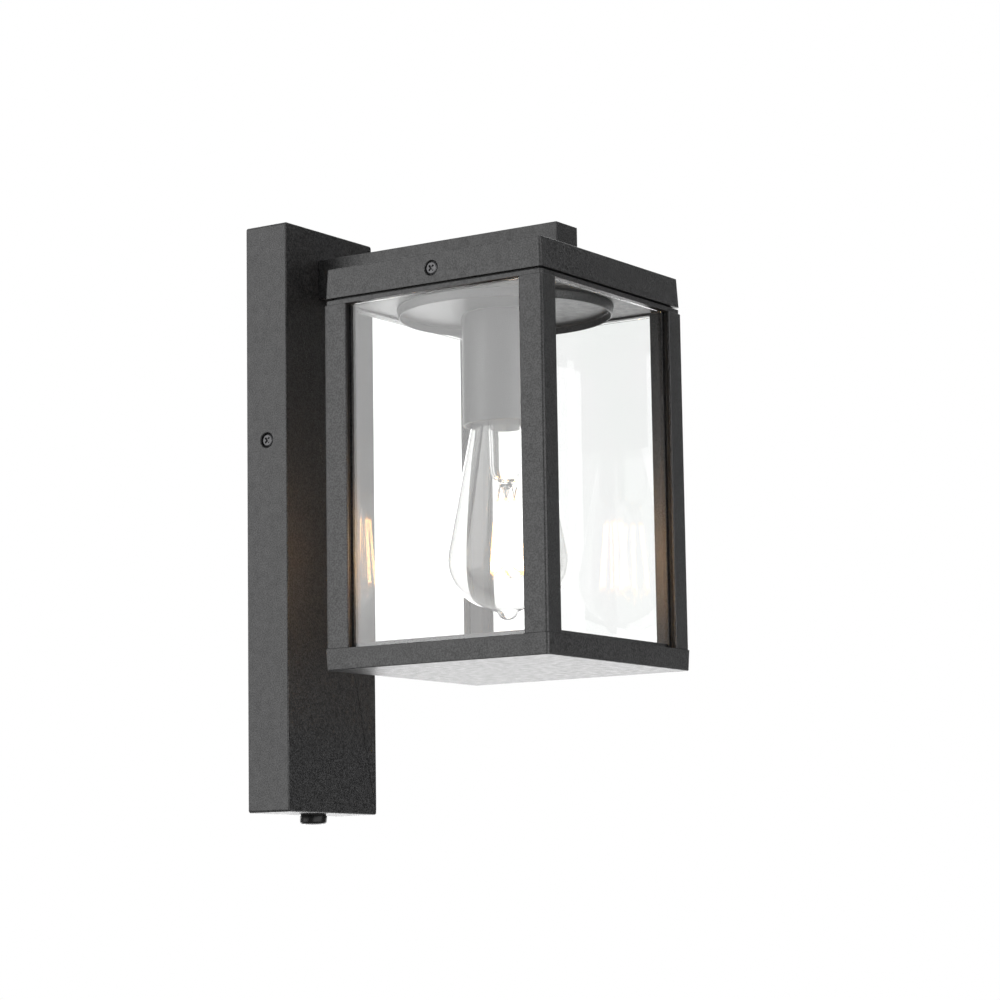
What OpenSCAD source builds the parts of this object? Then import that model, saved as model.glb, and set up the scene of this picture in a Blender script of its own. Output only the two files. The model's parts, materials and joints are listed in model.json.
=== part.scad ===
// Outdoor wall lantern: a tall wall box carries a short arm, and the arm carries a square roof.
// A glazed cage hangs from the roof around one hanging lamp.
// Origin: on the wall, midway between the two wall fixing holes. +Z is up, -Y points away from the wall.

/* [Wall box] */
// Width of the wall box
box_w = 80; // [76:1:96]
// Depth of the wall box, from the wall to its front face
box_d = 28; // [27:0.5:34]
// Height of the wall box
box_h = 325; // [318:1:360]
// Wall thickness of the box, the arm and the roof
shell_t = 2; // [1.8:0.1:2.4]
// Distance between the two wall fixing holes
fixing_pitch = 200; // [190:5:210]
// Diameter of each wall fixing hole
fixing_hole_d = 5.5; // [4.5:0.5:6]
// Diameter of the hole for the supply cable in its grommet
cable_d = 8.5; // [7:0.5:9]
// Height of the two side screws of the wall box, above the origin
side_screw_z = 41.5; // [35:0.5:50]

/* [Arm] */
// Width of the arm
arm_w = 20.5; // [20:0.5:24]
// Height of the arm
arm_h = 22; // [22:0.5:26]
// Distance from the top of the wall box down to the top of the arm
arm_drop = 17; // [14:0.5:20]
// Distance from the wall to the front end of the arm
arm_reach = 187; // [184:1:200]

/* [Roof] */
// Width and depth of the roof at its lower edge
roof_w = 138; // [137:0.5:139]
// Height of the roof
roof_h = 16; // [15:0.5:18]
// How much wider the roof gets from top to bottom, on each side
roof_flare = 0.75; // [0:0.05:1]
// Distance from the wall to the middle of the lamp
lamp_reach = 146; // [142:1:150]
// Open joint between the roof and the cage
roof_gap = 1.3; // [1.1:0.1:1.6]

/* [Cage] */
// Width and depth of the cage over its posts
cage_w = 139; // [138:0.5:140]
// Height of the four posts
post_h = 183.8; // [175:0.2:190]
// Width of each post's wing on the front and back of the cage
post_front_w = 12.8; // [12:0.1:13.5]
// Width of each post's wing on the sides of the cage
post_side_w = 14.3; // [13.5:0.1:15]
// Thickness of the post's outer wings
wing_t = 1.6; // [1.4:0.1:1.8]
// Thickness of the black seal between a wing and its pane
seal_t = 2; // [1.6:0.1:2.2]
// Thickness of the glass
glass_t = 3; // [2.5:0.1:3.2]
// Height of the rim on top of the cage
rim_h = 2.4; // [2.2:0.1:3]
// Width and depth of the tray under the cage
tray_w = 140; // [139.5:0.5:142]
// Height of the tray
tray_h = 11.2; // [10:0.2:13]
// Height of the sill that stands behind the lower edge of each pane
sill_h = 2.8; // [2:0.2:4]

/* [Lamp] */
// Outer diameter of the round dish under the roof
dish_d = 115; // [100:1:116]
// Depth of the dish from its floor to its lip
dish_h = 4.4; // [4:0.1:5]
// Outer diameter of the lamp cup
cup_d = 45; // [44:0.5:50]
// Height of the lamp cup
cup_h = 61.4; // [60:0.1:63]
// Largest diameter of the bulb
bulb_d = 64; // [60:1:66]
// Overall length of the bulb
bulb_len = 140; // [138:1:142]
// Half angle of the bulb's cone
bulb_angle = 11.5; // [11:0.5:12]
// Number of glowing rods in the bulb
rod_count = 6; // [4:1:8]

/* [Sensor] */
// Diameter of the light sensor under the wall box
sensor_d = 15; // [13:0.5:16]
// How far the sensor stands out below the wall box
sensor_h = 5.5; // [5:0.5:7]

/* [Hidden] */
$fn = 96;

// Small overlap used to cut cleanly through a face
cut = 1;
// Thickness of the slices that a hull joins, and of the overlap that fuses two bodies
skin = 0.01;
// Gap left between faces of pieces that only rest against each other
slack = 0.1;
// Radial play of a round piece in its hole
stem_play = 0.05;

// Heights of the main levels, above the origin
box_top = box_h / 2;
box_bottom = -box_h / 2;
arm_top = box_top - arm_drop;
arm_bottom = arm_top - arm_h;
roof_bottom = arm_bottom - roof_h;
rim_top = roof_bottom - roof_gap;
rim_bottom = rim_top - rim_h;
post_bottom = rim_bottom - post_h;
tray_bottom = post_bottom - tray_h;
ceiling_bottom = rim_bottom + 1;
lamp_y = -lamp_reach;

// Cast edges and wall thicknesses
edge_r = 1.5;
lip_w = 3;
lip_t = 1.5;

// Wall bracket, a steel strip with two ears and two bent tabs
plate_t = 1.5;
bracket_w = 40;
bracket_h = 290;
tab_x = box_w / 2 - 7;
tab_h = 20;
tab_depth = 21;
seal_w = lip_w;
box_seal_t = 2;
cable_z = -60;
grommet_len = 6;
grommet_flange_t = 1.5;
grommet_flange_r = cable_d / 2 + 3.5;
grommet_neck_r = cable_d / 2 + 1.5;

// Screws: head radius, head height, shank radius and the hole that takes the shank
head_r = 3.4;
head_h = 1.6;
shank_r = 1.9;
shank_hole_r = 2;
head_bevel = 0.6;
small_screw_r = 1.5;
small_hole_r = 1.6;
small_head_r = 3;
recess_r = 4;
recess_depth = 2.2;
// Cross recess: length and width as parts of the head's radius, depth as a part of its height
cross_length_part = 1.2;
cross_width_part = 0.34;
cross_depth_part = 0.65;
side_screw_y = -box_d / 2;
boss_r = 6;
box_boss_h = 4.5;

// Light sensor
sensor_seal_t = 1;
sensor_stem_r = 5;
sensor_stem_h = 14;
sensor_hole_r = 5.2;
lens_r = 4.6;
lens_t = 2.3;
lens_inset = 0.2;

// Terminal block, switch module and their leads
block_w = 30;
block_d = 16;
block_h = 18;
block_z = -10;
pole_pitch = 10;
pole_hole_r = 1.9;
pole_hole_depth = 5;
pole_screw_z = 3.6;
pole_y = -plate_t - block_d / 2;
lead_tail = 4;
module_w = 34;
module_d = 18;
module_h = 34;
module_z = -126;
lead_r = 1.1;
thin_lead_r = 0.7;
lead_sides = 8;
earth_z = 22;
earth_ring_r = 4.2;
earth_ring_t = 0.9;

// Arm
arm_block = 10;
duct_len = arm_reach - box_d - shell_t - arm_block;
duct_r = 4.5;
duct_z = arm_bottom + shell_t + duct_r;
arm_screw_x = 6;
arm_screw_z = arm_top - 5;
arm_boss_r = 3.5;
arm_boss_h = 5.5;
roof_screw_pitch = 48;
lead_arm_x = 5.2;
lead_arm_z = arm_bottom + shell_t + lead_r + 0.4;
lead_duct_z = duct_z - 1.5;

// Roof and the parts under it
roof_screw_z = roof_bottom + roof_h / 2;
roof_inner_w = roof_w - 2 * roof_flare - 2 * shell_t;
stop_w = 8;
stop_inset = 59.3;
ceiling_play = 0.4;
ceiling_t = 1.2;
tab_t = 1.5;
rim_tab_x = 62.4;
rim_tab_w = 20;
rim_tab_top = roof_screw_z + 4;
tab_gap = 0.4;
boss_start = roof_inner_w / 2 + 0.5;
boss_end = rim_tab_x + tab_t / 2 + tab_gap;
nipple_r = 5;
nipple_bore_r = 3.8;
nipple_hole_r = 5.2;
nipple_top = arm_bottom + shell_t + 4;
nut_r = 8;
nut_h = 3;
dish_t = 0.8;
dish_floor = ceiling_bottom - dish_t;
dish_lip = dish_floor - dish_h;
dish_taper = 1;
spacer_h = 2;
cup_t = 1.5;
cup_top = dish_floor - spacer_h;
cup_bottom = cup_top - cup_h;
cup_shoulder = 3;
nipple_bottom = cup_top - 8;

// Lampholder and bulb. The bulb's cap is smooth here, with room for its thread.
socket_r = 14.2;
sleeve_t = 0.6;
lead_hole_r = 3;
holder_r = 19;
holder_top = cup_top - cup_t - 0.4;
bulb_tip = cup_bottom - 104.9;
bulb_top = bulb_tip + bulb_len;
bulb_r = bulb_d / 2;
bulb_centre = bulb_tip + bulb_r;
bulb_wall = 0.8;
cap_r = 12.9;
cap_len = 22;
insulator_h = 3;
contact_h = 1.5;
cap_bottom = bulb_top - contact_h - insulator_h - cap_len;
holder_bottom = cap_bottom + 2;
neck_r = 17.6;
neck_z = cap_bottom - 6;
rod_top = bulb_tip + 64.6;
rod_len = 40;
rod_r = 1;
rod_ring_top = 5;
rod_ring_bottom = 9;
stem_r = 5;
stem_tip_r = 1.2;
throat_r = cap_r - 0.5;
stem_top_r = throat_r - bulb_wall - stem_play;
wire_r = 0.2;

// Cage: the post's section, measured in from its outer corner
slot_start = wing_t + seal_t + glass_t;
web_w = 8;
half_cage = cage_w / 2;
pane_half = half_cage - web_w - 0.3;
pane_face = half_cage - wing_t - seal_t;
shelf_z = post_bottom - 4.5;
sill_w = 6;
post_screw_inset = 9.5;
post_screw_x = half_cage - post_screw_inset;
wing_play = 0.2;
wing_bevel = 0.3;
peg_r = 1.6;
peg_len = 7;
rim_w = cage_w - 1.4;
rim_hole_r = 1.7;
rim_sink = 1.7;
// Neck on the rim that closes the open joint to the roof from inside
neck_half = roof_inner_w / 2 - 0.75;
neck_t = 1.2;
neck_rise = 0.3;
rim_open = half_cage - 9;
rim_corner = half_cage - 13;
tray_draft = 0.5;
screw_bite = 8;

black = [0.07, 0.07, 0.075];
steel = [0.72, 0.73, 0.75];
brass = [0.8, 0.62, 0.28];
rubber_black = [0.03, 0.03, 0.03];
off_white = [0.92, 0.92, 0.89];

// ---- Shared shapes ----

// Rectangle centred on the origin, with round corners
module round_rect(w, h, r) {
    square([w - 2 * r, h], center = true);
    square([w, h - 2 * r], center = true);
    for (sx = [-1, 1], sy = [-1, 1]) translate([sx * (w / 2 - r), sy * (h / 2 - r)]) circle(r);
}

// Square block around the lamp's axis, from height z, with a different width at its top
module lamp_block(w_low, w_high, z, h) {
    hull() {
        translate([0, lamp_y, z]) linear_extrude(skin) round_rect(w_low, w_low, edge_r, $fn = 32);
        translate([0, lamp_y, z + h - skin]) linear_extrude(skin)
            round_rect(w_high, w_high, edge_r, $fn = 32);
    }
}

// Ring or disc around the lamp's axis, from height z up
module lamp_ring(r_out, r_in, z, h) {
    translate([0, lamp_y, z]) difference() {
        cylinder(r = r_out, h = h);
        translate([0, 0, -cut]) cylinder(r = r_in, h = h + 2 * cut);
    }
}

// Four copies around the lamp's axis, one at each corner at this distance from it along X and Y
module lamp_corners(inset) {
    for (sx = [-1, 1], sy = [-1, 1]) translate([sx * inset, lamp_y + sy * inset, 0]) children();
}

// Pan head screw along +Z: the head starts at z = 0 and the shank runs down, with a cross recess
module screw(shank_len, r = shank_r, head = head_r, height = head_h) {
    side = 0.6 * height;
    cross = [cross_length_part * head, cross_width_part * head, cross_depth_part * height];
    difference() {
        union() {
            cylinder(r = head, h = side);
            translate([0, 0, side]) cylinder(r1 = head, r2 = head - head_bevel, h = height - side);
            translate([0, 0, -shank_len]) cylinder(r = r, h = shank_len + skin);
        }
        for (a = [45, 135]) rotate([0, 0, a])
            translate([-cross.x / 2, -cross.y / 2, height - cross.z]) cube([cross.x, cross.y, cut + cross.z]);
    }
}

// Hexagon nut with a round hole, from z = 0 up
module hex_nut(r_out, r_in, h) {
    difference() {
        cylinder(r = r_out, h = h, $fn = 6);
        translate([0, 0, -cut]) cylinder(r = r_in, h = h + 2 * cut);
    }
}

// Point on a smooth curve between b and c
function curve_point(a, b, c, d, t) =
    0.5 * (2 * b + (c - a) * t + (2 * a - 5 * b + 4 * c - d) * t * t + (3 * b - a - 3 * c + d) * t * t * t);

// Smooth path through the points, with the given number of steps between each pair
function smooth_path(points, steps = 4) = let (last = len(points) - 1) [
    for (i = [0:last - 1], s = [0:steps - 1])
        curve_point(points[max(i - 1, 0)], points[i], points[i + 1], points[min(i + 2, last)], s / steps),
    points[last]];

function unit(v) = v / norm(v);

// Direction of a path at its point i
function along(path, i) = unit(path[min(i + 1, len(path) - 1)] - path[max(i - 1, 0)]);

// Round lead swept along a path that never runs straight along X
module lead(path, r, sides = lead_sides) {
    last = len(path) - 1;
    step = 360 / sides;
    points = [for (i = [0:last]) let (t = along(path, i), n = unit(cross(t, [1, 0, 0])), b = cross(t, n))
        for (k = [0:sides - 1]) path[i] + r * (cos(k * step) * n + sin(k * step) * b)];
    walls = [for (i = [0:last - 1], k = [0:sides - 1]) let (a = i * sides, b = a + sides, m = (k + 1) % sides)
        [a + k, a + m, b + m, b + k]];
    start_cap = [for (k = [sides - 1:-1:0]) k];
    end_cap = [for (k = [0:sides - 1]) last * sides + k];
    polyhedron(points, concat([start_cap], walls, [end_cap]));
}

// ---- Wall box ----

module wall_bracket() {
    color(steel) difference() {
        union() {
            translate([-bracket_w / 2, -plate_t, -bracket_h / 2]) cube([bracket_w, plate_t, bracket_h]);
            translate([0, 0, side_screw_z - tab_h / 2]) {
                translate([-tab_x - plate_t, -plate_t, 0]) cube([2 * (tab_x + plate_t), plate_t, tab_h]);
                for (x = [-tab_x - plate_t, tab_x]) translate([x, -tab_depth, 0])
                    cube([plate_t, tab_depth, tab_h]);
            }
        }
        for (s = [-1, 1]) translate([0, cut, s * fixing_pitch / 2]) rotate([90, 0, 0])
            cylinder(d = fixing_hole_d, h = plate_t + 2 * cut);
        translate([0, cut, cable_z]) rotate([90, 0, 0]) cylinder(r = grommet_neck_r, h = plate_t + 2 * cut);
        translate([0, cut, earth_z]) rotate([90, 0, 0]) cylinder(r = shank_hole_r, h = plate_t + 2 * cut);
        translate([-box_w / 2, side_screw_y, side_screw_z]) rotate([0, 90, 0])
            cylinder(r = shank_hole_r, h = box_w);
    }
}

module cable_grommet() {
    color(rubber_black) translate([0, 0, cable_z]) rotate([90, 0, 0]) difference() {
        union() {
            cylinder(r = grommet_neck_r, h = grommet_len);
            translate([0, 0, plate_t]) cylinder(r = grommet_flange_r, h = grommet_flange_t);
        }
        translate([0, 0, -cut]) cylinder(d = cable_d, h = grommet_len + 2 * cut);
    }
}

module terminal_block() {
    color(off_white) translate([0, -plate_t - block_d, block_z]) difference() {
        translate([-block_w / 2, 0, -block_h / 2]) cube([block_w, block_d, block_h]);
        for (i = [-1:1]) translate([pole_pitch * i, 0, 0]) {
            for (z = [-block_h / 2 - cut, block_h / 2 - pole_hole_depth]) translate([0, block_d / 2, z])
                cylinder(r = pole_hole_r, h = pole_hole_depth + cut);
            for (s = [-1, 1]) translate([0, -cut, s * pole_screw_z]) rotate([-90, 0, 0])
                cylinder(r = 2.2, h = pole_hole_depth + cut);
        }
    }
}

module terminal_screws() {
    color(brass) for (i = [-1:1], s = [-1, 1])
        translate([i * pole_pitch, -plate_t - block_d + 2.4, block_z + s * pole_screw_z]) rotate([90, 0, 0])
            screw(2.6, r = 1.2, head = 1.9, height = 1.2);
}

// Earth screw with the ring of the earth lead under its head
module earth_screw() {
    color(brass) translate([0, -plate_t - earth_ring_t, earth_z]) rotate([90, 0, 0]) {
        screw(earth_ring_t + plate_t - slack);
        translate([0, 0, -earth_ring_t]) difference() {
            cylinder(r = earth_ring_r, h = earth_ring_t);
            translate([0, 0, -cut]) cylinder(r = shank_r, h = 3 * cut);
        }
    }
}

module wall_box() {
    color(black) difference() {
        union() {
            difference() {
                translate([0, -box_d, 0]) rotate([-90, 0, 0])
                    linear_extrude(box_d) round_rect(box_w, box_h, edge_r);
                translate([-box_w / 2 + shell_t, -box_d + shell_t, box_bottom + shell_t])
                    cube([box_w - 2 * shell_t, box_d + cut, box_h - 2 * shell_t]);
            }
            // Ledge that carries the rear seal
            difference() {
                translate([-box_w / 2 + shell_t / 2, -box_seal_t - lip_t, box_bottom + shell_t / 2])
                    cube([box_w - shell_t, lip_t, box_h - shell_t]);
                translate([-box_w / 2 + shell_t + lip_w, -box_d / 2, box_bottom + shell_t + lip_w])
                    cube([box_w - 2 * (shell_t + lip_w), box_d, box_h - 2 * (shell_t + lip_w)]);
            }
            // Bosses behind the two side screws
            for (s = [-1, 1]) translate([s * (box_w / 2 - shell_t / 2), side_screw_y, side_screw_z])
                rotate([0, -s * 90, 0]) cylinder(r = boss_r, h = box_boss_h);
        }
        for (s = [-1, 1]) translate([s * box_w / 2, side_screw_y, side_screw_z]) rotate([0, -s * 90, 0]) {
            translate([0, 0, -cut]) cylinder(r = recess_r, h = recess_depth + cut);
            cylinder(r = shank_hole_r, h = 2 * box_boss_h);
        }
        translate([0, -box_d / 2, duct_z]) rotate([90, 0, 0]) cylinder(r = duct_r, h = box_d);
        for (s = [-1, 1]) translate([s * arm_screw_x, -box_d / 2, arm_screw_z]) rotate([90, 0, 0])
            cylinder(r = small_hole_r, h = box_d);
        translate([0, side_screw_y, box_bottom - cut]) cylinder(r = sensor_hole_r, h = shell_t + 2 * cut);
    }
}

module rear_seal() {
    color(rubber_black) rotate([90, 0, 0]) linear_extrude(box_seal_t) difference() {
        square([box_w - 2 * shell_t, box_h - 2 * shell_t], center = true);
        square([box_w - 2 * (shell_t + seal_w), box_h - 2 * (shell_t + seal_w)], center = true);
    }
}

module box_screws() {
    color(black) for (s = [-1, 1])
        translate([s * (box_w / 2 - recess_depth), side_screw_y, side_screw_z]) rotate([0, s * 90, 0])
            screw(box_w / 2 - recess_depth - tab_x + 1);
}

// ---- Light sensor and wiring ----

module sensor_housing() {
    color(black) translate([0, side_screw_y, box_bottom]) difference() {
        union() {
            translate([0, 0, -sensor_h + sensor_seal_t])
                cylinder(d = sensor_d, h = sensor_h - 2 * sensor_seal_t);
            translate([0, 0, -sensor_h]) cylinder(d1 = sensor_d - 2, d2 = sensor_d, h = sensor_seal_t);
            translate([0, 0, -1.5 * sensor_seal_t]) cylinder(r = sensor_stem_r, h = sensor_stem_h + 1.5);
        }
        translate([0, 0, -sensor_h - cut]) cylinder(r = lens_r, h = lens_t + lens_inset + cut);
    }
}

module sensor_lens() {
    color([0.85, 0.87, 0.9]) translate([0, side_screw_y, box_bottom - sensor_h + lens_inset])
        cylinder(r = lens_r, h = lens_t);
}

module sensor_nut() {
    color([0.15, 0.15, 0.16]) translate([0, side_screw_y, box_bottom + shell_t])
        hex_nut(8.5, sensor_stem_r + stem_play, 4);
}

module sensor_seal() {
    color(rubber_black) translate([0, side_screw_y, box_bottom - sensor_seal_t]) difference() {
        cylinder(d = sensor_d - 1, h = sensor_seal_t);
        translate([0, 0, -cut]) cylinder(r = sensor_stem_r + stem_play, h = sensor_seal_t + 2 * cut);
    }
}

module switch_module() {
    color(off_white) translate([0, -plate_t, module_z]) rotate([90, 0, 0])
        linear_extrude(module_d) round_rect(module_w, module_h, 2);
}

module sensor_leads() {
    low = box_bottom + sensor_stem_h + slack;
    high = module_z - module_h / 2 - slack;
    color("red") for (s = [-1, 1])
        lead(smooth_path([[s * 2, side_screw_y, low], [s * 2, side_screw_y, low + 1],
            [s * 2, side_screw_y, high - 1], [s * 2, side_screw_y, high]], 2), thin_lead_r);
}

module supply_leads() {
    module_top = module_z + module_h / 2 + slack;
    color("sienna") for (s = [-1, 1]) lead(smooth_path([
        [s * pole_pitch, pole_y, block_z - block_h / 2 + lead_tail],
        [s * pole_pitch, pole_y, block_z - block_h / 2 - 8],
        [s * 12, -14, -60],
        [s * 12, -13, -95],
        [s * 11, -11, module_top + 3],
        [s * 11, -11, module_top]], 4), lead_r);
}

module earth_lead() {
    color("yellowgreen") lead(smooth_path([
        [0, pole_y, block_z + block_h / 2 - lead_tail],
        [0, pole_y, block_z + block_h / 2 + 6],
        [0, -5, earth_z - 9],
        [0, -3.4, earth_z - earth_ring_r - 0.6]], 4), lead_r);
}

// One lamp lead: up the wall box, out along the arm and down the nipple into the lampholder
module lamp_lead(side) {
    lead(smooth_path([
        [side * pole_pitch, pole_y, block_z + block_h / 2 - lead_tail],
        [side * pole_pitch, pole_y, block_z + block_h / 2 + 8],
        [side * 11, -12, 40],
        [side * 11, -12, 90],
        [side * 7, -13, 110],
        [side * 3, -16, 122],
        [side * 2, -24, lead_duct_z],
        [side * 2, -38, lead_duct_z],
        [side * lead_arm_x, -55, lead_arm_z],
        [side * lead_arm_x, -90, lead_arm_z],
        [side * lead_arm_x, -126, lead_arm_z],
        [side * 3.4, lamp_y + 12, nipple_top - 1],
        [side * 1.6, lamp_y + 4, nipple_top + 3],
        [side * 1.6, lamp_y, nipple_top],
        [side * 1.6, lamp_y, nipple_top - 10],
        [side * 1.6, lamp_y, bulb_top + 2.6]], 4), lead_r);
}

module live_lead() {
    color("sienna") lamp_lead(-1);
}

module neutral_lead() {
    color("royalblue") lamp_lead(1);
}

// ---- Arm, roof and what hangs from it ----

module arm() {
    color(black) difference() {
        union() {
            difference() {
                translate([-arm_w / 2, -arm_reach, arm_bottom]) cube([arm_w, arm_reach - box_d, arm_h]);
                translate([-arm_w / 2 + shell_t, -arm_reach + shell_t, arm_bottom + shell_t])
                    cube([arm_w - 2 * shell_t, duct_len, arm_h - 2 * shell_t]);
            }
            for (s = [-1, 1]) translate([0, lamp_y + s * roof_screw_pitch / 2, arm_bottom + 1])
                cylinder(r = arm_boss_r, h = arm_boss_h);
        }
        translate([0, -box_d + cut, 0]) rotate([90, 0, 0]) {
            translate([0, duct_z, 0]) cylinder(r = duct_r, h = arm_block + 2 * cut);
            for (s = [-1, 1]) translate([s * arm_screw_x, arm_screw_z, 0])
                cylinder(r = small_hole_r, h = arm_block - cut);
        }
        for (s = [-1, 1]) translate([0, lamp_y + s * roof_screw_pitch / 2, arm_bottom - cut])
            cylinder(r = small_hole_r, h = arm_boss_h + cut);
        translate([0, lamp_y, arm_bottom - cut]) cylinder(r = nipple_hole_r, h = shell_t + 2 * cut);
    }
}

module arm_screws() {
    color(steel) for (s = [-1, 1])
        translate([s * arm_screw_x, -box_d + shell_t, arm_screw_z]) rotate([-90, 0, 0])
            screw(9, r = small_screw_r, head = small_head_r);
}

module roof_cap() {
    top_w = roof_w - 2 * roof_flare;
    color(black) difference() {
        union() {
            difference() {
                lamp_block(roof_w, top_w, roof_bottom, roof_h);
                translate([-roof_inner_w / 2, lamp_y - roof_inner_w / 2, roof_bottom - cut])
                    cube([roof_inner_w, roof_inner_w, roof_h - shell_t + cut]);
            }
            for (s = [-1, 1]) translate([s * boss_start, lamp_y, roof_screw_z]) rotate([0, -s * 90, 0])
                cylinder(r = boss_r, h = boss_start - boss_end);
            // Corner stops for the rim of the cage
            lamp_corners(stop_inset) translate([-stop_w / 2, -stop_w / 2, rim_top + slack])
                cube([stop_w, stop_w, roof_bottom - rim_top - slack + roof_h - shell_t / 2]);
        }
        for (s = [-1, 1]) translate([s * roof_w / 2, lamp_y, roof_screw_z]) rotate([0, -s * 90, 0]) {
            translate([0, 0, -cut]) cylinder(r = recess_r, h = recess_depth + cut);
            cylinder(r = shank_hole_r, h = roof_w / 2 - boss_end + cut);
        }
        translate([0, lamp_y, arm_bottom - shell_t - cut]) {
            for (s = [-1, 1]) translate([0, s * roof_screw_pitch / 2, 0])
                cylinder(r = small_hole_r, h = shell_t + 2 * cut);
            cylinder(r = nipple_hole_r, h = shell_t + 2 * cut);
        }
    }
}

module roof_fixing_screws() {
    color(steel) for (s = [-1, 1])
        translate([0, lamp_y + s * roof_screw_pitch / 2, arm_bottom - shell_t]) rotate([180, 0, 0])
            screw(7, r = small_screw_r, head = small_head_r);
}

module roof_side_screws() {
    start = roof_w / 2 - recess_depth;
    color(black) for (s = [-1, 1]) translate([s * start, lamp_y, roof_screw_z]) rotate([0, s * 90, 0])
        screw(start - boss_end + 0.2);
}

// Plate that fills the opening of the cage's rim
module ceiling_plate() {
    color(black) translate([0, lamp_y, ceiling_bottom]) linear_extrude(ceiling_t) difference() {
        rim_opening(ceiling_play);
        circle(nipple_hole_r);
    }
}

module dish() {
    top_r = dish_d / 2;
    lip_r = top_r - dish_taper;
    color(black) translate([0, lamp_y, 0]) rotate_extrude($fn = 128) polygon([
        [nipple_hole_r, dish_floor], [top_r - 2, dish_floor], [top_r - 1.2, dish_floor - 0.6],
        [lip_r - dish_t, dish_lip + 0.3], [lip_r - dish_t + 0.25, dish_lip], [lip_r - 0.25, dish_lip],
        [lip_r, dish_lip + 0.3], [top_r, ceiling_bottom - 0.8], [top_r - 0.8, ceiling_bottom],
        [nipple_hole_r, ceiling_bottom]]);
}

module nipple() {
    color(steel) lamp_ring(nipple_r, nipple_bore_r, nipple_bottom, nipple_top - nipple_bottom);
}

module nipple_nuts() {
    color(steel) {
        for (z = [ceiling_bottom + ceiling_t, arm_bottom - shell_t - nut_h, arm_bottom + shell_t])
            translate([0, lamp_y, z]) hex_nut(nut_r, nipple_r, nut_h);
        // Spacer between the dish and the cup
        lamp_ring(nut_r + 1, nipple_r, cup_top, spacer_h);
    }
}

module lamp_cup() {
    outer = cup_d / 2;
    inner = outer - cup_t;
    color([0.35, 0.35, 0.36]) translate([0, lamp_y, 0]) rotate_extrude($fn = 128) difference() {
        union() {
            translate([0, cup_bottom]) square([outer, cup_h - cup_shoulder]);
            translate([0, cup_bottom]) square([outer - cup_shoulder, cup_h]);
            translate([outer - cup_shoulder, cup_top - cup_shoulder]) intersection() {
                circle(cup_shoulder);
                translate([-cut, -cut]) square(cup_shoulder + cut);
            }
        }
        translate([0, cup_bottom - cut]) square([inner, cup_h - cup_t + cut]);
        translate([0, cup_top - 2 * cup_t]) square([nipple_hole_r, 3 * cup_t]);
    }
}

module lampholder_body() {
    color([0.92, 0.91, 0.88]) translate([0, lamp_y, 0]) difference() {
        union() {
            translate([0, 0, holder_bottom]) cylinder(r = holder_r, h = bulb_top + 6 - holder_bottom);
            translate([0, 0, bulb_top + 6]) cylinder(r = holder_r - 4, h = holder_top - bulb_top - 6);
        }
        translate([0, 0, holder_bottom - cut])
            cylinder(r = socket_r, h = bulb_top + 2 - holder_bottom + cut);
        translate([0, 0, nipple_bottom])
            cylinder(r = nipple_r + stem_play, h = holder_top - nipple_bottom + cut);
        translate([0, 0, bulb_top]) cylinder(r = lead_hole_r, h = nipple_bottom - bulb_top + cut);
    }
}

module lampholder_sleeve() {
    color(steel) lamp_ring(socket_r, socket_r - sleeve_t, holder_bottom + 2, bulb_top - 6 - holder_bottom);
}

module lampholder_contact() {
    color(brass) translate([0, lamp_y, bulb_top + 0.4]) {
        cylinder(r = 3, h = 0.6);
        translate([-3, 0, 0.5]) cube([6, 10, 0.5]);
        translate([-3, 9.5, 0.5]) cube([6, 0.5, 1.1]);
    }
}

// ---- Cage ----

// Opening of the cage's rim, drawn in by the given amount: it leaves the four corners to the posts
module rim_opening(inset) {
    long = 2 * (rim_open - inset);
    short = 2 * (rim_corner - inset);
    square([long, short], center = true);
    square([short, long], center = true);
}

module top_rim() {
    color(black) difference() {
        union() {
            difference() {
                translate([0, lamp_y, rim_bottom]) linear_extrude(rim_h) round_rect(rim_w, rim_w, edge_r);
                translate([0, lamp_y, rim_bottom - cut]) linear_extrude(rim_h + 2 * cut) rim_opening(0);
            }
            translate([0, lamp_y, rim_top - rim_h / 2]) linear_extrude(rim_h / 2 + roof_gap + neck_rise)
                difference() {
                    square(2 * neck_half, center = true);
                    square(2 * (neck_half - neck_t), center = true);
                }
            for (s = [-1, 1])
                translate([s * rim_tab_x - tab_t / 2, lamp_y - rim_tab_w / 2, (rim_bottom + rim_top) / 2])
                    cube([tab_t, rim_tab_w, rim_tab_top - (rim_bottom + rim_top) / 2]);
        }
        lamp_corners(post_screw_x) {
            translate([0, 0, rim_bottom - cut]) cylinder(r = rim_hole_r, h = rim_h + 2 * cut);
            translate([0, 0, rim_top - rim_sink]) cylinder(r = small_head_r, h = rim_sink + cut);
        }
    }
}

module rim_screws() {
    color(steel) lamp_corners(post_screw_x) translate([0, 0, rim_top - rim_sink])
        screw(screw_bite, r = 1.4, head = 2.8, height = 1.5);
}

// Width of the posts' wings on the side of the cage at this turn, and half the clear width between them
function wing_w(turn) = turn % 180 == 0 ? post_front_w : post_side_w;
function clear_half(turn) = half_cage - wing_w(turn) - wing_play;

// Post's section at the corner of the cage. Its two slots take the edges of the panes.
module post_section(w, d) {
    difference() {
        union() {
            translate([edge_r, 0]) square([w - edge_r, d]);
            translate([0, edge_r]) square([w, d - edge_r]);
            translate([edge_r, edge_r]) circle(edge_r);
        }
        translate([web_w, wing_t]) square([w, slot_start - wing_t]);
        translate([wing_t, web_w]) square([slot_start - wing_t, d]);
        // Bevels on the free edges of the two wings
        polygon([[w - wing_bevel - cut, -cut], [w + cut, -cut], [w + cut, wing_bevel + cut]]);
        polygon([[-cut, d - wing_bevel - cut], [-cut, d + cut], [wing_bevel + cut, d + cut]]);
    }
}

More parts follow.
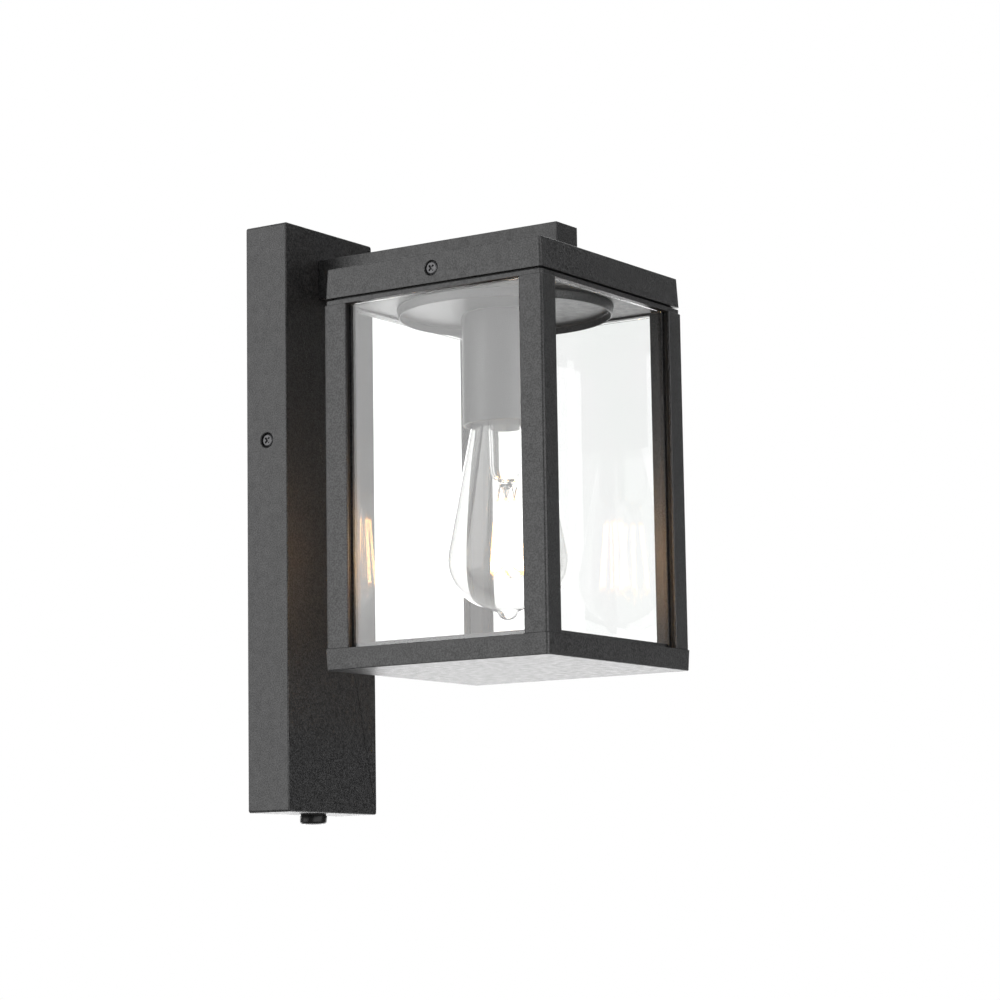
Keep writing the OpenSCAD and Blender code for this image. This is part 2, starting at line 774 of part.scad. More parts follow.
module post(turn) {
    color(black) translate([0, lamp_y, post_bottom]) rotate([0, 0, turn]) difference() {
        translate([-half_cage, -half_cage, 0]) linear_extrude(post_h)
            post_section(wing_w(turn), wing_w(turn + 90));
        translate([-half_cage + post_screw_inset, -half_cage + post_screw_inset, 0]) {
            translate([0, 0, -cut]) cylinder(r = peg_r + stem_play, h = peg_len + 1 + cut);
            translate([0, 0, post_h - screw_bite - 1]) cylinder(r = 1.45, h = screw_bite + 1 + cut);
        }
    }
}

module post_front_left() {
    post(0);
}

module post_front_right() {
    post(90);
}

module post_back_right() {
    post(180);
}

module post_back_left() {
    post(270);
}

module pane(turn) {
    color([0.85, 0.92, 0.93, 0.25]) translate([0, lamp_y, 0]) rotate([0, 0, turn])
        translate([-pane_half, -pane_face, shelf_z + slack])
            cube([2 * pane_half, glass_t, rim_bottom - shelf_z - 2 * slack]);
}

module glass_front() {
    pane(0);
}

module glass_right() {
    pane(90);
}

module glass_back() {
    pane(180);
}

module glass_left() {
    pane(270);
}

// Eight upright seals and four lower ones, between each pane and the frame outside it
module pane_seals() {
    color(rubber_black) translate([0, lamp_y, 0]) for (turn = [0:90:270]) rotate([0, 0, turn]) {
        upright_w = wing_w(turn) - web_w - 2 * wing_play;
        upright_x = half_cage - web_w - upright_w;
        for (x = [-upright_x - upright_w, upright_x]) translate([x, -half_cage + wing_t, post_bottom])
            cube([upright_w, seal_t, rim_bottom - post_bottom - slack]);
        translate([-clear_half(turn), -half_cage + wing_t, shelf_z])
            cube([2 * clear_half(turn), seal_t, post_bottom - shelf_z - 0.5]);
    }
}

module tray() {
    channel = half_cage - wing_t;
    sill_face = half_cage - slot_start;
    color(black) difference() {
        union() {
            lamp_block(tray_w - 2 * tray_draft, tray_w, tray_bottom, tray_h);
            // Sills behind the panes
            for (turn = [0:90:270]) translate([0, lamp_y, 0]) rotate([0, 0, turn])
                translate([-clear_half(turn), -sill_face + slack, post_bottom - cut])
                    cube([2 * clear_half(turn), sill_w, sill_h + cut]);
            lamp_corners(post_screw_x) translate([0, 0, post_bottom - cut])
                cylinder(r = peg_r, h = peg_len + cut, $fn = 32);
        }
        translate([0, lamp_y, tray_bottom + shell_t]) linear_extrude(tray_h + sill_h)
            round_rect(2 * (sill_face - sill_w), 2 * (sill_face - sill_w), 2);
        // Channels that take the lower edges of the panes
        for (turn = [0:90:270]) translate([0, lamp_y, 0]) rotate([0, 0, turn])
            translate([-pane_half - 0.2, -channel, shelf_z])
                cube([2 * pane_half + 0.4, channel - sill_face, tray_h]);
    }
}

// ---- Bulb ----

// Half outline of the envelope, drawn in from its true size by the given amount
module envelope(inset) {
    r = bulb_r - inset;
    joint_r = r * cos(bulb_angle);
    joint_z = bulb_centre + r * sin(bulb_angle);
    cone_z = joint_z + (joint_r - neck_r + inset) / tan(bulb_angle);
    intersection() {
        union() {
            translate([0, bulb_centre]) circle(r, $fn = 128);
            polygon([[0, bulb_centre], [joint_r, joint_z], [neck_r - inset, cone_z],
                [neck_r - inset - 1.5, neck_z + 2], [throat_r - inset, cap_bottom - 0.4],
                [throat_r - inset, cap_bottom + 1], [0, cap_bottom + 1]]);
        }
        translate([0, bulb_tip - cut]) square([bulb_d, bulb_len]);
    }
}

module bulb_glass() {
    color([0.95, 0.95, 0.92, 0.3]) translate([0, lamp_y, 0]) rotate_extrude($fn = 128) difference() {
        envelope(0);
        envelope(bulb_wall);
    }
}

module bulb_cap() {
    color(steel) translate([0, lamp_y, 0]) rotate_extrude() polygon([
        [cap_r - 0.3, cap_bottom + 0.1], [cap_r, cap_bottom + 0.6], [cap_r, cap_bottom + cap_len - 2],
        [cap_r - 2.5, cap_bottom + cap_len], [cap_r - 3, cap_bottom + cap_len],
        [cap_r - 0.4, cap_bottom + cap_len - 2.2], [cap_r - 0.4, cap_bottom + 1.1]]);
}

module bulb_stem() {
    stem_top = cap_bottom + 1 - bulb_wall;
    stem_bottom = rod_top - rod_len + 4;
    color([0.95, 0.95, 0.92, 0.4]) translate([0, lamp_y, 0]) rotate_extrude() polygon([
        [0, stem_bottom], [stem_tip_r, stem_bottom], [stem_tip_r, rod_top + 2], [stem_r - 2, rod_top + 4],
        [stem_r - 1.4, rod_top + 14], [stem_r, stem_top - 12], [stem_top_r, stem_top - 3],
        [stem_top_r, stem_top], [0, stem_top]]);
}

// One copy for each rod, around the lamp's axis
module around_ring() {
    step = 360 / rod_count;
    translate([0, lamp_y, 0]) for (i = [0:rod_count - 1]) rotate([0, 0, (i + 0.5) * step]) children();
}

module bulb_rods() {
    lean = atan((rod_ring_bottom - rod_ring_top) / rod_len);
    color([1, 0.85, 0.5]) around_ring() translate([rod_ring_top, 0, rod_top]) rotate([0, 180 - lean, 0])
        cylinder(r = rod_r, h = rod_len / cos(lean), $fn = 24);
}

// Straight round wire between two points
module wire(a, b) {
    d = b - a;
    translate(a) rotate([0, acos(d.z / norm(d)), atan2(d.y, d.x)])
        cylinder(r = wire_r, h = norm(d), $fn = 16);
}

// Wires that hold the glowing rods to the stem, above and below
module bulb_wires() {
    low = rod_top - rod_len;
    color(steel) around_ring() {
        wire([stem_r - 1.4, 0, rod_top + 8], [rod_ring_top, 0, rod_top + 0.35]);
        wire([stem_tip_r + 0.25, 0, low + 5], [rod_ring_bottom - rod_r - 0.3, 0, low + 1]);
    }
}

module bulb_insulator() {
    color([0.06, 0.06, 0.06]) translate([0, lamp_y, cap_bottom + cap_len])
        cylinder(r1 = cap_r - 2.6, r2 = 5, h = insulator_h);
}

module bulb_contact() {
    color(steel) translate([0, lamp_y, bulb_top - contact_h]) cylinder(r1 = 4.8, r2 = 3.4, h = contact_h);
}

wall_bracket();
cable_grommet();
terminal_block();
terminal_screws();
earth_screw();
wall_box();
rear_seal();
box_screws();
sensor_housing();
sensor_lens();
sensor_nut();
sensor_seal();
switch_module();
sensor_leads();
supply_leads();
earth_lead();
live_lead();
neutral_lead();
arm();
arm_screws();
roof_cap();
roof_fixing_screws();
roof_side_screws();
ceiling_plate();
dish();
nipple();
nipple_nuts();
lamp_cup();
lampholder_body();
lampholder_sleeve();
lampholder_contact();
top_rim();
rim_screws();
post_back_left();
post_back_right();
post_front_left();
post_front_right();
glass_back();
glass_front();
glass_left();
glass_right();
pane_seals();
tray();
bulb_glass();
bulb_cap();
bulb_stem();
bulb_rods();
bulb_wires();
bulb_insulator();
bulb_contact();
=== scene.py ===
"""Looks for the outdoor wall lantern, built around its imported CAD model."""

import json
import math

import bmesh
import bpy
from mathutils import Matrix, Vector


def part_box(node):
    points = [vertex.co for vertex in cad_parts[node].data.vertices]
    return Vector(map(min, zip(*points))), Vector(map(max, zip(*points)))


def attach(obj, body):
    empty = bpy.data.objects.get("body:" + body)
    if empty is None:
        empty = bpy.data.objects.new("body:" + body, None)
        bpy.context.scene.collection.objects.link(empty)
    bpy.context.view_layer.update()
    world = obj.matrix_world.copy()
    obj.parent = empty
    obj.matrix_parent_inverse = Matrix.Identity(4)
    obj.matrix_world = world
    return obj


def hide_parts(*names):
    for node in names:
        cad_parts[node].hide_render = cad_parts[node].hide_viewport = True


MM = 0.001
SAME_POINT = 0.002 * MM

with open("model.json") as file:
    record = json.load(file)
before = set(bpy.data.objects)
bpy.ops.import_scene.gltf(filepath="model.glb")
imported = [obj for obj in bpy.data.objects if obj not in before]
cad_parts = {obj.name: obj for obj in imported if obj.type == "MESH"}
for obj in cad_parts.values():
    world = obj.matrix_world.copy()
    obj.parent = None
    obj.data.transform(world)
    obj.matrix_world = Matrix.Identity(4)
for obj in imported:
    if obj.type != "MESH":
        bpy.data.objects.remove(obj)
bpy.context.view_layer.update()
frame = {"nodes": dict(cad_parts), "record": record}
nodes = frame["nodes"]
slot_of = {part["node"]: part["material_slot"] for part in frame["record"]["subparts"]}

# The plain materials that come with the frame give way to the ones below
for imported in list(bpy.data.materials):
    bpy.data.materials.remove(imported)


# ---- Material building blocks ----

NOISE_LOW, NOISE_HIGH = 0.3, 0.7  # most values of a noise texture lie between these


def add(tree, kind, values=None, links=None, **settings):
    """One shader node, with its socket values, its incoming links and its settings."""
    node = tree.nodes.new("ShaderNode" + kind)
    for key, value in settings.items():
        setattr(node, key, value)
    for key, value in (values or {}).items():
        node.inputs[key].default_value = value
    for key, source in (links or {}).items():
        tree.links.new(source, node.inputs[key])
    return node


class Surface:
    """A material with one Principled shader whose variation comes from 3-D noise in metres."""

    def __init__(self, name, **values):
        self.material = bpy.data.materials.new(name)
        self.material.use_nodes = True
        self.tree = self.material.node_tree
        self.tree.nodes.clear()
        self.output = add(self.tree, "OutputMaterial")
        self.shader = add(self.tree, "BsdfPrincipled", values)
        self.place = add(self.tree, "TexCoord").outputs["Object"]
        self.tree.links.new(self.shader.outputs[0], self.output.inputs["Surface"])

    def noise(self, scale, detail=2.0, roughness=0.5, stretch=None):
        """Noise of about 1 / scale metres. Stretch scales the three axes differently."""
        place = self.place
        if stretch:
            place = add(self.tree, "Mapping", {"Scale": stretch}, {"Vector": place}).outputs[0]
        return add(self.tree, "TexNoise", {"Scale": scale, "Detail": detail, "Roughness": roughness},
                   {"Vector": place}).outputs["Fac"]

    def math(self, operation, first, second):
        """Math node on two inputs, the second of which may be a number."""
        node = add(self.tree, "Math", links={0: first}, operation=operation)
        if isinstance(second, float):
            node.inputs[1].default_value = second
        else:
            self.tree.links.new(second, node.inputs[1])
        return node.outputs[0]

    def colour(self, source, *stops, socket="Base Color"):
        """Colour ramp with (position, colour) stops, from a noise or another factor."""
        node = add(self.tree, "ValToRGB", links={"Fac": source})
        elements = node.color_ramp.elements
        while len(elements) < len(stops):
            elements.new(0.5)
        for element, (position, colour) in zip(elements, stops):
            element.position = position
            element.color = (*colour, 1.0)
        self.tree.links.new(node.outputs["Color"], self.shader.inputs[socket])

    def drift(self, source, dark, light):
        """Base colour that drifts with a noise from dark to light."""
        self.colour(source, (NOISE_LOW, dark), (NOISE_HIGH, light))

    def roughness(self, source, low, high):
        """Roughness that follows a noise between two values."""
        node = add(self.tree, "MapRange",
                   {"From Min": NOISE_LOW, "From Max": NOISE_HIGH, "To Min": low, "To Max": high},
                   {"Value": source})
        self.tree.links.new(node.outputs[0], self.shader.inputs["Roughness"])

    def bump(self, *layers):
        """Bump from (noise, strength, depth in metres) layers, laid one over the other."""
        normal = None
        for source, strength, depth in layers:
            links = {"Height": source}
            if normal:
                links["Normal"] = normal
            normal = add(self.tree, "Bump", {"Strength": strength, "Distance": depth}, links).outputs[0]
        self.tree.links.new(normal, self.shader.inputs["Normal"])

    def pass_light(self, tint, *kinds):
        """Lets shadow rays and these kinds of ray straight through, so that what is inside the glass
        is lit. A ray that glass has bent on its way in still leaves through glass."""
        path = add(self.tree, "LightPath").outputs
        passed = path["Is Shadow Ray"]
        for kind in kinds:
            unbent = self.math("SUBTRACT", path[kind], path["Is Transmission Ray"])
            passed = self.math("MAXIMUM", passed, unbent)
        clear = add(self.tree, "BsdfTransparent", {"Color": (*tint, 1.0)}).outputs[0]
        mix = add(self.tree, "MixShader", links={0: passed, 1: self.shader.outputs[0], 2: clear})
        self.tree.links.new(mix.outputs[0], self.output.inputs["Surface"])


# ---- Materials, one for each slot of the record ----

def black_coat():
    """Fine-textured satin powder coat on cast and pressed metal."""
    s = Surface("black_coat", IOR=1.4)
    grain = s.noise(1150, 3.0, 0.6)
    # Painted glints: the fine speckle in the base colour stands in for the glints off the coat's textured
    # surface, which the bump alone loses.
    s.colour(s.noise(1300, 1.0, 0.4), (0.38, (0.0003, 0.0003, 0.0004)), (0.62, (0.0195, 0.0195, 0.02)))
    s.roughness(s.noise(220, 3.0), 0.33, 0.44)
    s.bump((s.noise(260, 2.0), 0.3, 0.02 * MM), (grain, 1.0, 0.15 * MM))
    return s.material


def metal(name, dark, light, rough, brushed=None):
    """Bare or plated metal with soft stains and fine marks."""
    s = Surface(name, Metallic=1.0)
    s.drift(s.noise(120, 4.0), dark, light)
    marks = s.noise(400, 4.0, 0.6, brushed)
    s.roughness(marks, *rough)
    s.bump((marks, 0.2, 0.02 * MM))
    return s.material


def plastic(name, dark, light, rough, grain=900, depth=0.01 * MM, **values):
    """Moulded plastic, rubber or ceramic with a slight drift of colour and a fine grain."""
    s = Surface(name, **values)
    s.drift(s.noise(60, 3.0), dark, light)
    s.roughness(s.noise(300, 3.0), *rough)
    s.bump((s.noise(grain, 2.0), 0.3, depth))
    return s.material


def insulation(name, dark, light):
    """Coloured PVC of a lead."""
    return plastic(name, dark, light, (0.35, 0.45))


def glass(name, tint, wave, passes, **values):
    """Clear glass with a trace of tint and the slight waviness of a real surface."""
    s = Surface(name, **{"Transmission Weight": 1.0, "IOR": 1.5, **values})
    s.drift(s.noise(25, 2.0), tint, (1.0, 1.0, 1.0))
    s.roughness(s.noise(150, 3.0), 0.0, 0.006)
    s.bump((s.noise(18, 1.0), 0.15, wave))
    s.pass_light((0.9, 0.9, 0.9), *passes)
    return s.material


def glow():
    """The lit phosphor of the filament rods: pale gold along the middle, dull orange at both ends."""
    low, high = (corner.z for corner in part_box("bulb_rods"))
    s = Surface("glow", **{"Base Color": (0.9, 0.7, 0.35, 1.0), "Roughness": 0.5, "Emission Strength": 130.0})
    height = add(s.tree, "SeparateXYZ", links={0: s.place}).outputs["Z"]
    along = add(s.tree, "MapRange", {"From Min": low, "From Max": high, "To Min": -1.0, "To Max": 1.0},
                {"Value": height}).outputs[0]
    from_middle = add(s.tree, "Math", links={0: along}, operation="ABSOLUTE").outputs[0]
    uneven = s.math("MULTIPLY", s.noise(900, 2.0), 0.06)
    s.colour(s.math("ADD", from_middle, uneven),
             (0.84, (1.0, 0.6, 0.28)), (0.92, (0.05, 0.02, 0.005)), (0.99, (0.011, 0.0045, 0.0012)),
             socket="Emission Color")
    return s.material


MATERIALS = {
    "black_coat": black_coat(),
    "zinc_steel": metal("zinc_steel", (0.15, 0.155, 0.165), (0.24, 0.245, 0.255), (0.34, 0.5)),
    "black_screw": plastic("black_screw", (0.03, 0.03, 0.032), (0.05, 0.05, 0.052), (0.3, 0.42), Metallic=0.3),
    "brass": metal("brass", (0.62, 0.43, 0.18), (0.82, 0.6, 0.3), (0.2, 0.34)),
    "nickel": metal("nickel", (0.6, 0.57, 0.52), (0.72, 0.69, 0.63), (0.16, 0.28), brushed=(1, 1, 6)),
    "black_rubber": plastic("black_rubber", (0.005, 0.005, 0.005), (0.01, 0.01, 0.01), (0.6, 0.75),
                            grain=700, depth=0.03 * MM, **{"Specular IOR Level": 0.12}),
    "white_plastic": plastic("white_plastic", (0.76, 0.75, 0.7), (0.84, 0.83, 0.79), (0.3, 0.42)),
    "white_ceramic": plastic("white_ceramic", (0.78, 0.76, 0.71), (0.86, 0.85, 0.81), (0.08, 0.16),
                             **{"Coat Weight": 0.4, "Coat Roughness": 0.05}),
    "black_plastic": plastic("black_plastic", (0.003, 0.003, 0.003), (0.006, 0.006, 0.006), (0.24, 0.32),
                             **{"Specular IOR Level": 0.16}),
    "brown_insulation": insulation("brown_insulation", (0.13, 0.05, 0.02), (0.17, 0.07, 0.03)),
    "blue_insulation": insulation("blue_insulation", (0.02, 0.1, 0.42), (0.03, 0.14, 0.5)),
    "green_insulation": insulation("green_insulation", (0.25, 0.5, 0.05), (0.42, 0.65, 0.08)),
    "red_insulation": insulation("red_insulation", (0.5, 0.03, 0.02), (0.6, 0.05, 0.03)),
    "clear_glass": glass("clear_glass", (0.985, 1.0, 0.99), 0.2 * MM, ("Is Diffuse Ray", "Is Glossy Ray")),
    "bulb_glass": glass("bulb_glass", (1.0, 0.995, 0.985), 0.02 * MM, ("Is Diffuse Ray",), IOR=1.47),
    "clear_plastic": glass("clear_plastic", (0.8, 0.86, 0.92), 0.02 * MM, ("Is Diffuse Ray",), IOR=1.49),
    "glow": glow(),
}

for name, node in nodes.items():
    node.data.materials.clear()
    node.data.materials.append(MATERIALS[slot_of[name]])


# ---- Softened edges on the carried-over CAD pieces ----

SOFT_EDGES = {  # edge radius in mm
    0.8: ["wall_box"],
    0.5: ["arm", "tray", "roof_cap", "switch_module", "terminal_block"],
    0.35: ["post_back_left", "post_back_right", "post_front_left", "post_front_right", "lamp_cup",
           "glass_back", "glass_front", "glass_left", "glass_right", "lampholder_body", "wall_bracket"],
    0.2: ["dish", "ceiling_plate", "sensor_housing", "cable_grommet"],
    0.12: ["top_rim"],
}
FLAT_ANGLE, SHARP_ANGLE = math.radians(0.4), math.radians(35)


def weld(obj):
    """Joins the separate faces of a CAD mesh."""
    modifier = obj.modifiers.new("weld", "WELD")
    modifier.merge_threshold = SAME_POINT


def soften(obj, radius):
    """Rounds the sharp edges of a CAD mesh, once its flat faces are whole."""
    weld(obj)
    flat = obj.modifiers.new("flat", "DECIMATE")
    flat.decimate_type = "DISSOLVE"
    flat.angle_limit = FLAT_ANGLE
    bevel = obj.modifiers.new("bevel", "BEVEL")
    bevel.width = radius
    bevel.segments = 3
    bevel.limit_method = "ANGLE"
    bevel.angle_limit = SHARP_ANGLE
    bevel.use_clamp_overlap = False
    bevel.harden_normals = True
    triangles = obj.modifiers.new("triangles", "TRIANGULATE")
    triangles.min_vertices = 5
    triangles.ngon_method = "BEAUTY"
    triangles.keep_custom_normals = True


for edge_radius, names in SOFT_EDGES.items():
    for name in names:
        soften(nodes[name], edge_radius * MM)


# ---- Bulb: envelope with its sealed tip, hollow stem, links between the rods and threaded cap ----

glass_low, glass_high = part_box("bulb_glass")
cap_low, cap_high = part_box("bulb_cap")
stem_low, stem_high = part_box("bulb_stem")
rods_low, rods_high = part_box("bulb_rods")
lamp_x, lamp_y = (glass_low.x + glass_high.x) / 2, (glass_low.y + glass_high.y) / 2


def around_lamp(radius, angle, height):
    """Place at this distance from the lamp's axis, angle round it and height."""
    return lamp_x + radius * math.cos(angle), lamp_y + radius * math.sin(angle), height


def parts(count, first=0):
    """Even parts of a whole, from first / count up to 1."""
    return [step / count for step in range(first, count + 1)]


def lathe(name, profile, turns, closed=False, ripple=None):
    """Solid of revolution about the lamp's axis. Profile holds (radius, height) pairs.
    Ripple gives what is added to the radius at a height and an angle."""
    bm = bmesh.new()
    rings = []
    for radius, height in profile:
        if radius == 0:
            rings.append([bm.verts.new(around_lamp(0, 0, height))])
            continue
        ring = []
        for i in range(turns):
            angle = math.tau * i / turns
            reach = radius + (ripple(height, angle) if ripple else 0.0)
            ring.append(bm.verts.new(around_lamp(reach, angle, height)))
        rings.append(ring)
    pairs = list(zip(rings, rings[1:])) + ([(rings[-1], rings[0])] if closed else [])
    for low, high in pairs:
        for i in range(turns):
            corners = dict.fromkeys((low[i % len(low)], low[(i + 1) % len(low)],
                                     high[(i + 1) % len(high)], high[i % len(high)]))
            if len(corners) > 2:
                bm.faces.new(tuple(corners))
    bmesh.ops.recalc_face_normals(bm, faces=bm.faces)
    for face in bm.faces:
        face.smooth = True
    return new_object(name, bm)


def new_object(name, bm):
    """Object in the scene from a bmesh."""
    mesh = bpy.data.meshes.new(name)
    bm.to_mesh(mesh)
    bm.free()
    obj = bpy.data.objects.new(name, mesh)
    bpy.context.scene.collection.objects.link(obj)
    return obj


def piece(obj, slot, body, *replaced):
    """Gives a new piece its finish and its body, and hides the CAD nodes that it stands for."""
    obj.data.materials.append(MATERIALS[slot])
    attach(obj, body)
    if replaced:
        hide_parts(*replaced)


BULB_R = (glass_high.x - glass_low.x) / 2
BULB_SQUASH = 4.2 * MM  # how much flatter than a ball the round end is
BULB_CONE = math.radians(11.5)
GLASS_WALL = 0.8 * MM
NUB_R, NUB_H, NUB_FOOT, NUB_TURN = 6.0 * MM, 5.0 * MM, 7.3 * MM, math.radians(80)
NECK_R, NECK_Z = 17.6 * MM, cap_low.z - 6 * MM
THROAT_R, THROAT_Z = 11.9 * MM, cap_low.z + 1 * MM


def bulb_outline(inset):
    """The bulb's outline from its tip up to its throat, moved inwards by inset: the sealed nub, the
    round end, the straight cone and the shoulder that turns in to the throat."""
    points = []
    for part in parts(8):
        turn = NUB_TURN * part
        points.append(((NUB_R - inset) * math.sin(turn), glass_low.z + inset + NUB_H * (1 - math.cos(turn))))
    radius = BULB_R - inset
    centre = glass_low.z + BULB_R
    start = math.asin((NUB_FOOT - inset) / radius)
    for part in parts(24):
        turn = start + (math.pi / 2 - start) * part
        points.append((radius * math.sin(turn), centre - (radius - BULB_SQUASH) * math.cos(turn)))
    for part in parts(4, first=1):
        turn = BULB_CONE * part
        points.append((radius * math.cos(turn), centre + radius * math.sin(turn)))
    cone_r, cone_z = points[-1]
    neck_r, throat_r = NECK_R - inset, THROAT_R - inset
    for part in parts(8, first=1):
        points.append((cone_r + (neck_r - cone_r) * part, cone_z + (NECK_Z - cone_z) * part))
    for part in parts(6, first=1):
        points.append((throat_r + (neck_r - throat_r) * math.cos(part * math.pi / 2),
                       NECK_Z + (THROAT_Z - NECK_Z) * part))
    return points


envelope = lathe("bulb_envelope", bulb_outline(0.0) + bulb_outline(GLASS_WALL)[::-1], turns=128)
piece(envelope, "bulb_glass", "bulb", "bulb_glass")


def from_z(base, *profile):
    """(radius, height above base) pairs in mm, as places in metres."""
    return [(radius * MM, base + height * MM) for radius, height in profile]


stem_outside = (from_z(stem_low.z, (0, 0), (1.0, 0.2), (1.2, 0.6))
                + from_z(rods_high.z, (1.2, 2), (1.5, 4), (2.4, 6), (3.5, 8), (5.4, 9.6), (7.0, 11.6),
                         (8.0, 14.5), (8.4, 19), (8.6, 30), (8.9, 38))
                + from_z(stem_high.z, (9.6, -6), (10.9, -2), (10.9, 0)))
stem_inside = (from_z(stem_high.z, (9.9, 0), (9.9, -2), (8.6, -6.4))
               + from_z(rods_high.z, (7.9, 38), (7.6, 30), (7.4, 19), (7.0, 14.9), (6.0, 12.4), (4.4, 10.8),
                        (2.4, 9.9), (0, 9.6)))
piece(lathe("bulb_stem_flare", stem_outside + stem_inside, turns=64), "bulb_glass", "bulb", "bulb_stem")


def wire_mesh(points, radius):
    """Round wire along a path, as a mesh."""
    curve = bpy.data.curves.new("path", "CURVE")
    curve.dimensions = "3D"
    curve.bevel_depth = radius
    curve.bevel_resolution = 2
    curve.use_fill_caps = True
    spline = curve.splines.new("POLY")
    spline.points.add(len(points) - 1)
    for point, place in zip(spline.points, points):
        point.co = (*place, 1.0)
    holder = bpy.data.objects.new("path", curve)
    mesh = bpy.data.meshes.new_from_object(holder)
    bpy.data.objects.remove(holder)
    bpy.data.curves.remove(curve)
    return mesh


FIRST_ROD, ROD_STEP, ROD_PAIRS = 30, 60, 3  # the rods' places round the axis, in degrees
LINK_WIRE_R = 0.22
# Bends of a link: mm from the axis, degrees from its first rod, mm above the rods' ends
TOP_LINK = ((5.0, 0, 0.2), (5.9, 12, 6.4), (4.6, 30, 3.4), (5.9, 48, 6.4), (5.0, 60, 0.2))
LOW_LINK = ((9.0, 0, -0.2), (8.2, 20, -2.6), (8.2, 40, -2.6), (9.0, 60, -0.2))


def rod_links():
    """Bent wires that join neighbouring rods in pairs: M-shaped above, a plain bow below."""
    joined = bmesh.new()
    for pair in range(ROD_PAIRS):
        top_rod = FIRST_ROD + 2 * ROD_STEP * pair
        for bends, base, rod in ((TOP_LINK, rods_high.z, top_rod), (LOW_LINK, rods_low.z, top_rod + ROD_STEP)):
            path = [around_lamp(radius * MM, math.radians(rod + swing), base + height * MM)
                    for radius, swing, height in bends]
            mesh = wire_mesh(path, LINK_WIRE_R * MM)
            joined.from_mesh(mesh)
            bpy.data.meshes.remove(mesh)
    return new_object("bulb_links", joined)


piece(rod_links(), "zinc_steel", "bulb")


THREAD_PITCH, THREAD_DEPTH, THREAD_ROWS = 3.629 * MM, 0.5 * MM, 44
CAP_R, CAP_WALL = 12.6 * MM, 0.4 * MM
thread_low, thread_high = cap_low.z + 3 * MM, cap_high.z - 2.4 * MM


def thread(height, angle):
    """Right-hand thread that fades out at both ends."""
    fade = min(1.0, max(0.0, height - thread_low) / MM, max(0.0, thread_high - height) / MM)
    return THREAD_DEPTH * fade * math.sin(math.tau * (height - thread_low) / THREAD_PITCH - angle)


levels = [thread_low + (thread_high - thread_low) * part for part in parts(THREAD_ROWS)]
cap_outside = ([(CAP_R - 0.25 * MM, cap_low.z + 0.1 * MM), (CAP_R, cap_low.z + 0.5 * MM)]
               + [(CAP_R, level) for level in levels]
               + [(CAP_R - 0.8 * MM, cap_high.z - 1 * MM), (10.4 * MM, cap_high.z)])
cap_inside = ([(9.9 * MM, cap_high.z)] + [(CAP_R - CAP_WALL, level) for level in levels[::-1]]
              + [(CAP_R - CAP_WALL, cap_low.z + 0.5 * MM)])
cap = lathe("bulb_cap_threaded", cap_outside + cap_inside, turns=72, closed=True, ripple=thread)
piece(cap, "nickel", "bulb", "bulb_cap")


# ---- Rounder leads ----

for name in ["live_lead", "neutral_lead", "earth_lead", "supply_leads", "sensor_leads"]:
    weld(nodes[name])
    round_off = nodes[name].modifiers.new("round", "SUBSURF")
    round_off.levels = round_off.render_levels = 1


# ---- Stage: floor, lights and camera ----

FLOOR_R, FLOOR_Z, FLOOR_SIDES = 30.0, -1.5, 96
floor_mesh = bpy.data.meshes.new("floor")
floor_ring = [(FLOOR_R * math.cos(math.tau * i / FLOOR_SIDES), FLOOR_R * math.sin(math.tau * i / FLOOR_SIDES),
               FLOOR_Z) for i in range(FLOOR_SIDES)]
floor_mesh.from_pydata(floor_ring, [], [list(range(FLOOR_SIDES))])
floor = bpy.data.objects.new("floor", floor_mesh)
bpy.context.scene.collection.objects.link(floor)
pale = Surface("pale_floor", **{"Roughness": 0.9, "Specular IOR Level": 0.1})
pale.drift(pale.noise(0.8, 3.0), (0.88, 0.88, 0.88), (0.92, 0.92, 0.92))
floor_mesh.materials.append(pale.material)
floor.visible_glossy = False

HEART = Vector((0.0, -0.1, 0.0))  # where the lights point


def soft_light(name, way, gap, width, height, radiance):
    """Rectangular studio light at a distance in some direction, which is seen only in reflections."""
    data = bpy.data.lights.new(name, "AREA")
    data.shape = "RECTANGLE"
    data.size = width
    data.size_y = height
    data.energy = radiance * math.pi * width * height
    light = bpy.data.objects.new(name, data)
    bpy.context.scene.collection.objects.link(light)
    light.location = HEART + Vector(way).normalized() * gap
    light.rotation_euler = (HEART - light.location).to_track_quat("-Z", "Y").to_euler()
    light.visible_camera = False
    light.visible_transmission = False


soft_light("softbox", way=(-0.82, 0.55, 0.14), gap=1.2, width=1.1, height=1.4, radiance=3.3)
soft_light("front_light", way=(-0.31, -0.95, -0.08), gap=1.5, width=2.2, height=1.5, radiance=3.2)


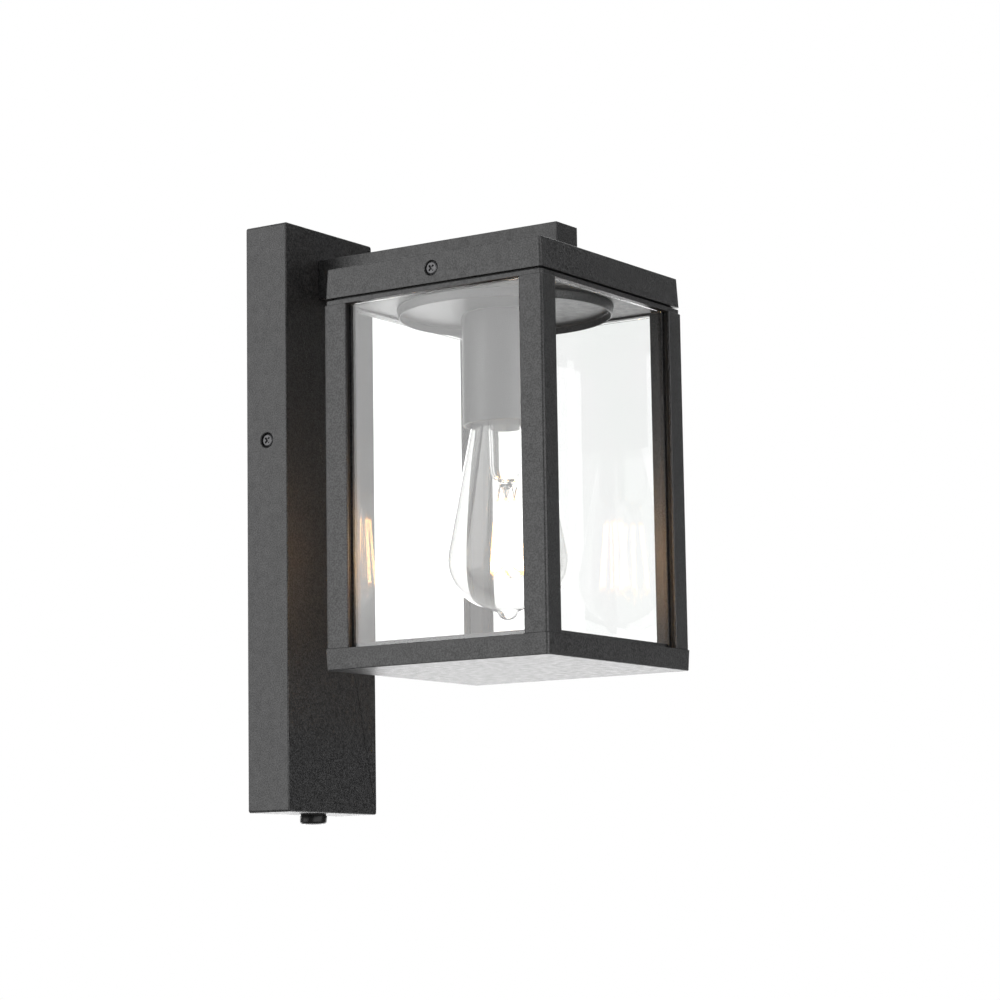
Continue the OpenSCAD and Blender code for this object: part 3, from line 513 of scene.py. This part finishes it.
def studio():
    """White surroundings as the camera sees them. As a light, they are even all round, but dim on the
    front right, brighter overhead and brightest on the far right."""
    world = bpy.data.worlds.new("studio")
    world.use_nodes = True
    tree = world.node_tree
    tree.nodes.clear()
    way = add(tree, "TexCoord").outputs["Generated"]

    def toward(direction, low, high):
        """Rises from 0 to 1 as the cosine of the angle from a direction goes from low to high."""
        cosine = add(tree, "VectorMath", {1: direction}, {0: way}, operation="DOT_PRODUCT").outputs["Value"]
        return add(tree, "MapRange", {"From Min": low, "From Max": high}, {"Value": cosine},
                   interpolation_type="SMOOTHSTEP").outputs[0]

    def blend(base, grey, factor):
        """Goes from base, a number or a socket, to a grey. Mix holds its colours in sockets 6 and 7."""
        mix = add(tree, "Mix", {7: (grey, grey, grey, 1.0)}, {0: factor}, data_type="RGBA")
        if isinstance(base, float):
            mix.inputs[6].default_value = (base, base, base, 1.0)
        else:
            tree.links.new(base, mix.inputs[6])
        return mix.outputs[2]

    light = blend(0.55, 0.05, toward((0.80, -0.57, 0.28), 0.9, 0.99))
    light = blend(light, 0.95, toward((0.0, 0.0, 1.0), 0.4, 0.9))
    light = blend(light, 2.9, toward((0.83, 0.556, 0.0), 0.6, 0.85))
    path = add(tree, "LightPath").outputs
    colour = blend(light, 1.0, path["Is Camera Ray"])
    colour = blend(colour, 1.12, path["Is Transmission Ray"])
    background = add(tree, "Background", {"Strength": 1.0}, {"Color": colour})
    output = add(tree, "OutputWorld")
    tree.links.new(background.outputs[0], output.inputs["Surface"])
    return world


bpy.context.scene.world = studio()
bpy.context.scene.view_settings.view_transform = "Standard"

CAMERA_AZ, CAMERA_EL, CAMERA_ROLL = (math.radians(angle) for angle in (-56.14, -8.02, -0.89))
CAMERA_FAR, CAMERA_RIGHT, CAMERA_UP = 1662.87 * MM, 34.23 * MM, -2.83 * MM
AIM = Vector((0.0, -0.1, 0.0075))
back = Vector((math.sin(CAMERA_AZ) * math.cos(CAMERA_EL), -math.cos(CAMERA_AZ) * math.cos(CAMERA_EL),
               math.sin(CAMERA_EL)))
level_right = Vector((0, 0, 1)).cross(back).normalized()
level_up = back.cross(level_right)
right = level_right * math.cos(CAMERA_ROLL) + level_up * math.sin(CAMERA_ROLL)
up = level_up * math.cos(CAMERA_ROLL) - level_right * math.sin(CAMERA_ROLL)
camera_data = bpy.data.cameras.new("camera")
camera_data.lens = 110.065
camera_data.sensor_width = 36.0
camera_data.clip_start = 0.01
camera = bpy.data.objects.new("camera", camera_data)
bpy.context.scene.collection.objects.link(camera)
camera.matrix_world = Matrix((right, up, back)).transposed().to_4x4()
camera.matrix_world.translation = AIM + back * CAMERA_FAR + right * CAMERA_RIGHT + up * CAMERA_UP
bpy.context.scene.camera = camera
